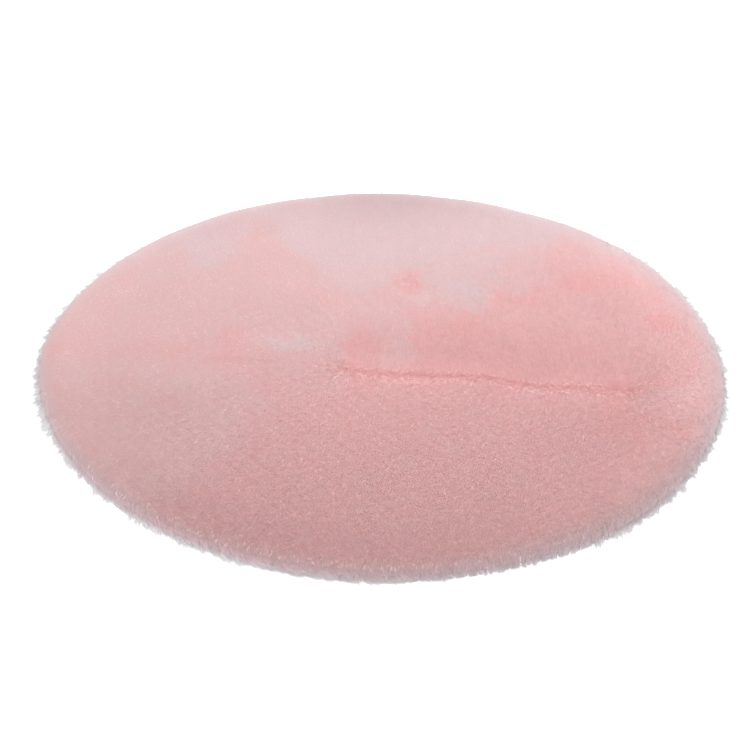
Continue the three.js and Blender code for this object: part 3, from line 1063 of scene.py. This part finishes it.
class RUG_OT_pile(bpy.types.Operator):
    """Make the locks of pile, in four pieces: two layers on either side of the fold"""

    bl_idname = "rug.pile"
    bl_label = "Pile"

    def execute(self, context):
        """Each root falls on one side of the fold, and in one layer or the other by a seeded draw."""
        sizes, colours = context.scene.rug_sizes, context.scene.rug_colours
        material = pile_material("Pile", colours)
        x, y, draw = spread_roots(sizes.lock_pitch, 7, DENSE_RADIUS + 10 * MM)
        back = behind_fold(x, y) > 0
        layer = draw.random(len(x)) < 0.5
        for name, chosen in (
            ("pile_back_under", back & layer),
            ("pile_back_over", back & ~layer),
            ("pile_front_under", ~back & layer),
            ("pile_front_over", ~back & ~layer),
        ):
            locks = pile_locks(x[chosen], y[chosen], sizes, draw)
            make_locks(name, locks, PILE_OWN_NORMALS, material)
        return {"FINISHED"}


def rim_tufts(bearing, edge, draw):
    """How far out the tufts reach at each bearing, as a share, how far each lock is drawn along the rim
    from the middle of its tuft, and the tuft's seeded number: coarse and fine tufts mixed by the
    bearing."""
    coarse = COARSE_LEAST
    for middle, spread in COARSE:
        off = (bearing - math.radians(middle) + np.pi) % (2 * np.pi) - np.pi
        coarse += (1 - COARSE_LEAST) * bump(off, math.radians(spread))
    coarse = np.minimum(coarse, 1)
    rim_x, rim_y = edge * np.cos(bearing), edge * np.sin(bearing)
    reach, drawn, mixed = 0, 0, 0
    for pitch, weight in zip(TUFTS, (coarse, 1 - coarse)):
        place = bearing * edge / pitch + 1.2 * blotches(rim_x, rim_y, 60 * MM, 61)
        place += 0.15 * draw.normal(size=len(bearing))
        number = seeded_number(np.floor(place) * 127.1)
        off = place % 1 - 0.5
        reach += weight * (0.3 + 1.3 * number**1.5) * (1 - 1.7 * np.abs(off) ** 1.2)
        drawn += weight * off * pitch
        mixed += weight * number
    return reach * (1 + COARSE_LONGER * coarse), drawn, mixed


def rim_locks(sizes, draw):
    """The locks that fall over the rim: rooted on the lower shoulder, they lie down it and out over the
    floor, combed sideways and drawn together in pointed tufts."""
    count = sizes.rim_locks
    bearing = draw.uniform(-np.pi, np.pi, count)
    edge = dense_radius(bearing)
    low = PILE_ENDS - 0.05 + (0.97 - PILE_ENDS) * draw.random(count)
    radius = edge - ROUND_OVER + SHOULDER_LONG * low
    x, y = radius * np.cos(bearing), radius * np.sin(bearing)
    rim_x, rim_y = edge * np.cos(bearing), edge * np.sin(bearing)
    tuft_reach, drawn, number = rim_tufts(bearing, edge, draw)
    tuft_reach *= round_rim(rim_x, rim_y, "reach")
    reach = LOCK_REACH * np.clip(tuft_reach * (0.4 + 0.85 * draw.random(count) ** 2) + 0.15, *RIM_REACH)
    to_floor = SHOULDER_LONG * (1 - low)
    long = sizes.lock_long * draw.uniform(*RIM_LONG, count)
    long = np.where(low > 0.6, to_floor + reach, np.minimum(long, to_floor + reach))
    sideways = round_rim(rim_x, rim_y, "combed") + 0.2 * blotches(rim_x, rim_y, 40 * MM, 63)
    sideways += draw.normal(0, 0.08, count) - 1.2 * drawn / long
    across_x = long * (np.cos(bearing) - sideways * np.sin(bearing))
    across_y = long * (np.sin(bearing) + sideways * np.cos(bearing))
    lift = sizes.layer_deep * draw.uniform(*RIM_LIFT, count)
    loose = draw.uniform(*RIM_LOOSE, count) * MM
    # The highest ones lie no higher than the pile's own locks
    proud = smooth_step(PILE_ENDS - 0.05, 0.8, low)
    among = -(1 - proud) * 0.35 * layer_depth(x, y, sizes)
    heights = (-lift - 2 * MM, among + proud * 0.4 * (loose + 1 * MM), among + proud * loose)
    rest = (1.0 + 1.5 * draw.random(count)) * MM
    wide = RIM_WIDE * draw.uniform(*RIM_WIDE_SHARES, count)
    shade = shading_share(x, y) + 0.15 * (number - 0.5) + draw.normal(0, 0.06, count)
    return Locks(
        places=stations(x, y, across_x, across_y, 0.45),
        heights=np.stack(heights, axis=1),
        wide=wide,
        rest=rest,
        roll=draw.normal(0, 0.3, count),
        buried=np.ones(count),
        brushed=brushed_back(x, y),
        shade=shade,
    )


class RUG_OT_rim(bpy.types.Operator):
    """Make the locks that fall over the rim and lie out on the floor"""

    bl_idname = "rug.rim"
    bl_label = "Rim locks"

    def execute(self, context):
        """One piece holds them all, all the way round."""
        sizes, colours = context.scene.rug_sizes, context.scene.rug_colours
        material = pile_material("Rim pile", colours)
        locks = rim_locks(sizes, np.random.default_rng(9))
        make_locks("pile_rim", locks, RIM_OWN_NORMALS, material)
        return {"FINISHED"}


def area_light(name, place, aim, across, power):
    """A square soft light at a place, turned to a point."""
    data = bpy.data.lights.new(name, "AREA")
    data.size = across
    data.energy = power
    light = bpy.data.objects.new(name, data)
    light.location = place
    light.rotation_euler = (Vector(aim) - Vector(place)).to_track_quat("-Z", "Y").to_euler()
    bpy.context.scene.collection.objects.link(light)


class RUG_OT_stage(bpy.types.Operator):
    """Make the floor, the soft lights and the camera at the photograph's viewing angle"""

    bl_idname = "rug.stage"
    bl_label = "Stage"

    def execute(self, context):
        """The camera looks at the rug's middle, which its shifted lens puts where the photograph has
        it."""
        scene, colours = context.scene, context.scene.rug_colours
        scene.view_settings.view_transform = "Standard"
        bpy.ops.mesh.primitive_plane_add(size=FLOOR_WIDE, location=(0, 0, 0))
        floor = context.object
        floor.name = "floor"
        material, shader = new_material("Floor", roughness=0.8, sheen=0, specular=0.2)
        shader.inputs["Base Color"].default_value = (*colours.floor, 1)
        shader.inputs["Emission Color"].default_value = (1, 1, 1, 1)
        shader.inputs["Emission Strength"].default_value = FLOOR_GLOW
        floor.data.materials.append(material)

        world = bpy.data.worlds.new("Studio")
        world.use_nodes = True
        world.node_tree.nodes["Background"].inputs["Color"].default_value = (1, 1, 1, 1)
        world.node_tree.nodes["Background"].inputs["Strength"].default_value = SKY_STRENGTH
        scene.world = world
        for light in LIGHTS:
            area_light(*light)

        camera = bpy.data.objects.new("camera", bpy.data.cameras.new("camera"))
        scene.collection.objects.link(camera)
        elevation = math.radians(CAMERA_ELEVATION)
        place = Vector((0, -math.cos(elevation), math.sin(elevation))) * CAMERA_AWAY
        camera.location = place
        turn = (-place).to_track_quat("-Z", "Y")
        roll = Quaternion((0, 0, 1), math.radians(CAMERA_ROLL))
        camera.rotation_euler = (turn @ roll).to_euler()
        camera.data.sensor_width = SENSOR_WIDE
        camera.data.lens = SENSOR_WIDE * FOCAL_PIXELS / PICTURE
        camera.data.shift_x = (PICTURE / 2 - MIDDLE_PIXEL[0]) / PICTURE
        camera.data.shift_y = (MIDDLE_PIXEL[1] - PICTURE / 2) / PICTURE
        scene.camera = camera
        return {"FINISHED"}


class RUG_PT_panel(bpy.types.Panel):
    """Lists the rug's sizes, colours and pieces"""

    bl_idname = "RUG_PT_panel"
    bl_label = "Round shag rug"
    bl_space_type = "VIEW_3D"
    bl_region_type = "UI"
    bl_category = "Rug"

    def draw(self, context):
        """One button for each operator, then a box for each group of properties."""
        for operator in OPERATORS:
            self.layout.operator(operator.bl_idname)
        for group in (context.scene.rug_sizes, context.scene.rug_colours):
            box = self.layout.box()
            for name in group.bl_rna.properties.keys():
                if name not in ("rna_type", "name"):
                    box.prop(group, name)


OPERATORS = (RUG_OT_stage, RUG_OT_ground, RUG_OT_underfur, RUG_OT_pile, RUG_OT_rim)
CLASSES = (RugSizes, RugColours, *OPERATORS, RUG_PT_panel)


def register():
    """Register the classes and hang the two groups of properties on the scene."""
    for each in CLASSES:
        bpy.utils.register_class(each)
    bpy.types.Scene.rug_sizes = PointerProperty(type=RugSizes)
    bpy.types.Scene.rug_colours = PointerProperty(type=RugColours)


def unregister():
    """Take away what register made, in the opposite order."""
    del bpy.types.Scene.rug_colours
    del bpy.types.Scene.rug_sizes
    for each in reversed(CLASSES):
        bpy.utils.unregister_class(each)


def main():
    """Make the stage and every piece."""
    register()
    bpy.ops.rug.stage()
    bpy.ops.rug.ground()
    bpy.ops.rug.underfur()
    bpy.ops.rug.pile()
    bpy.ops.rug.rim()


if __name__ == "__main__":
    main()
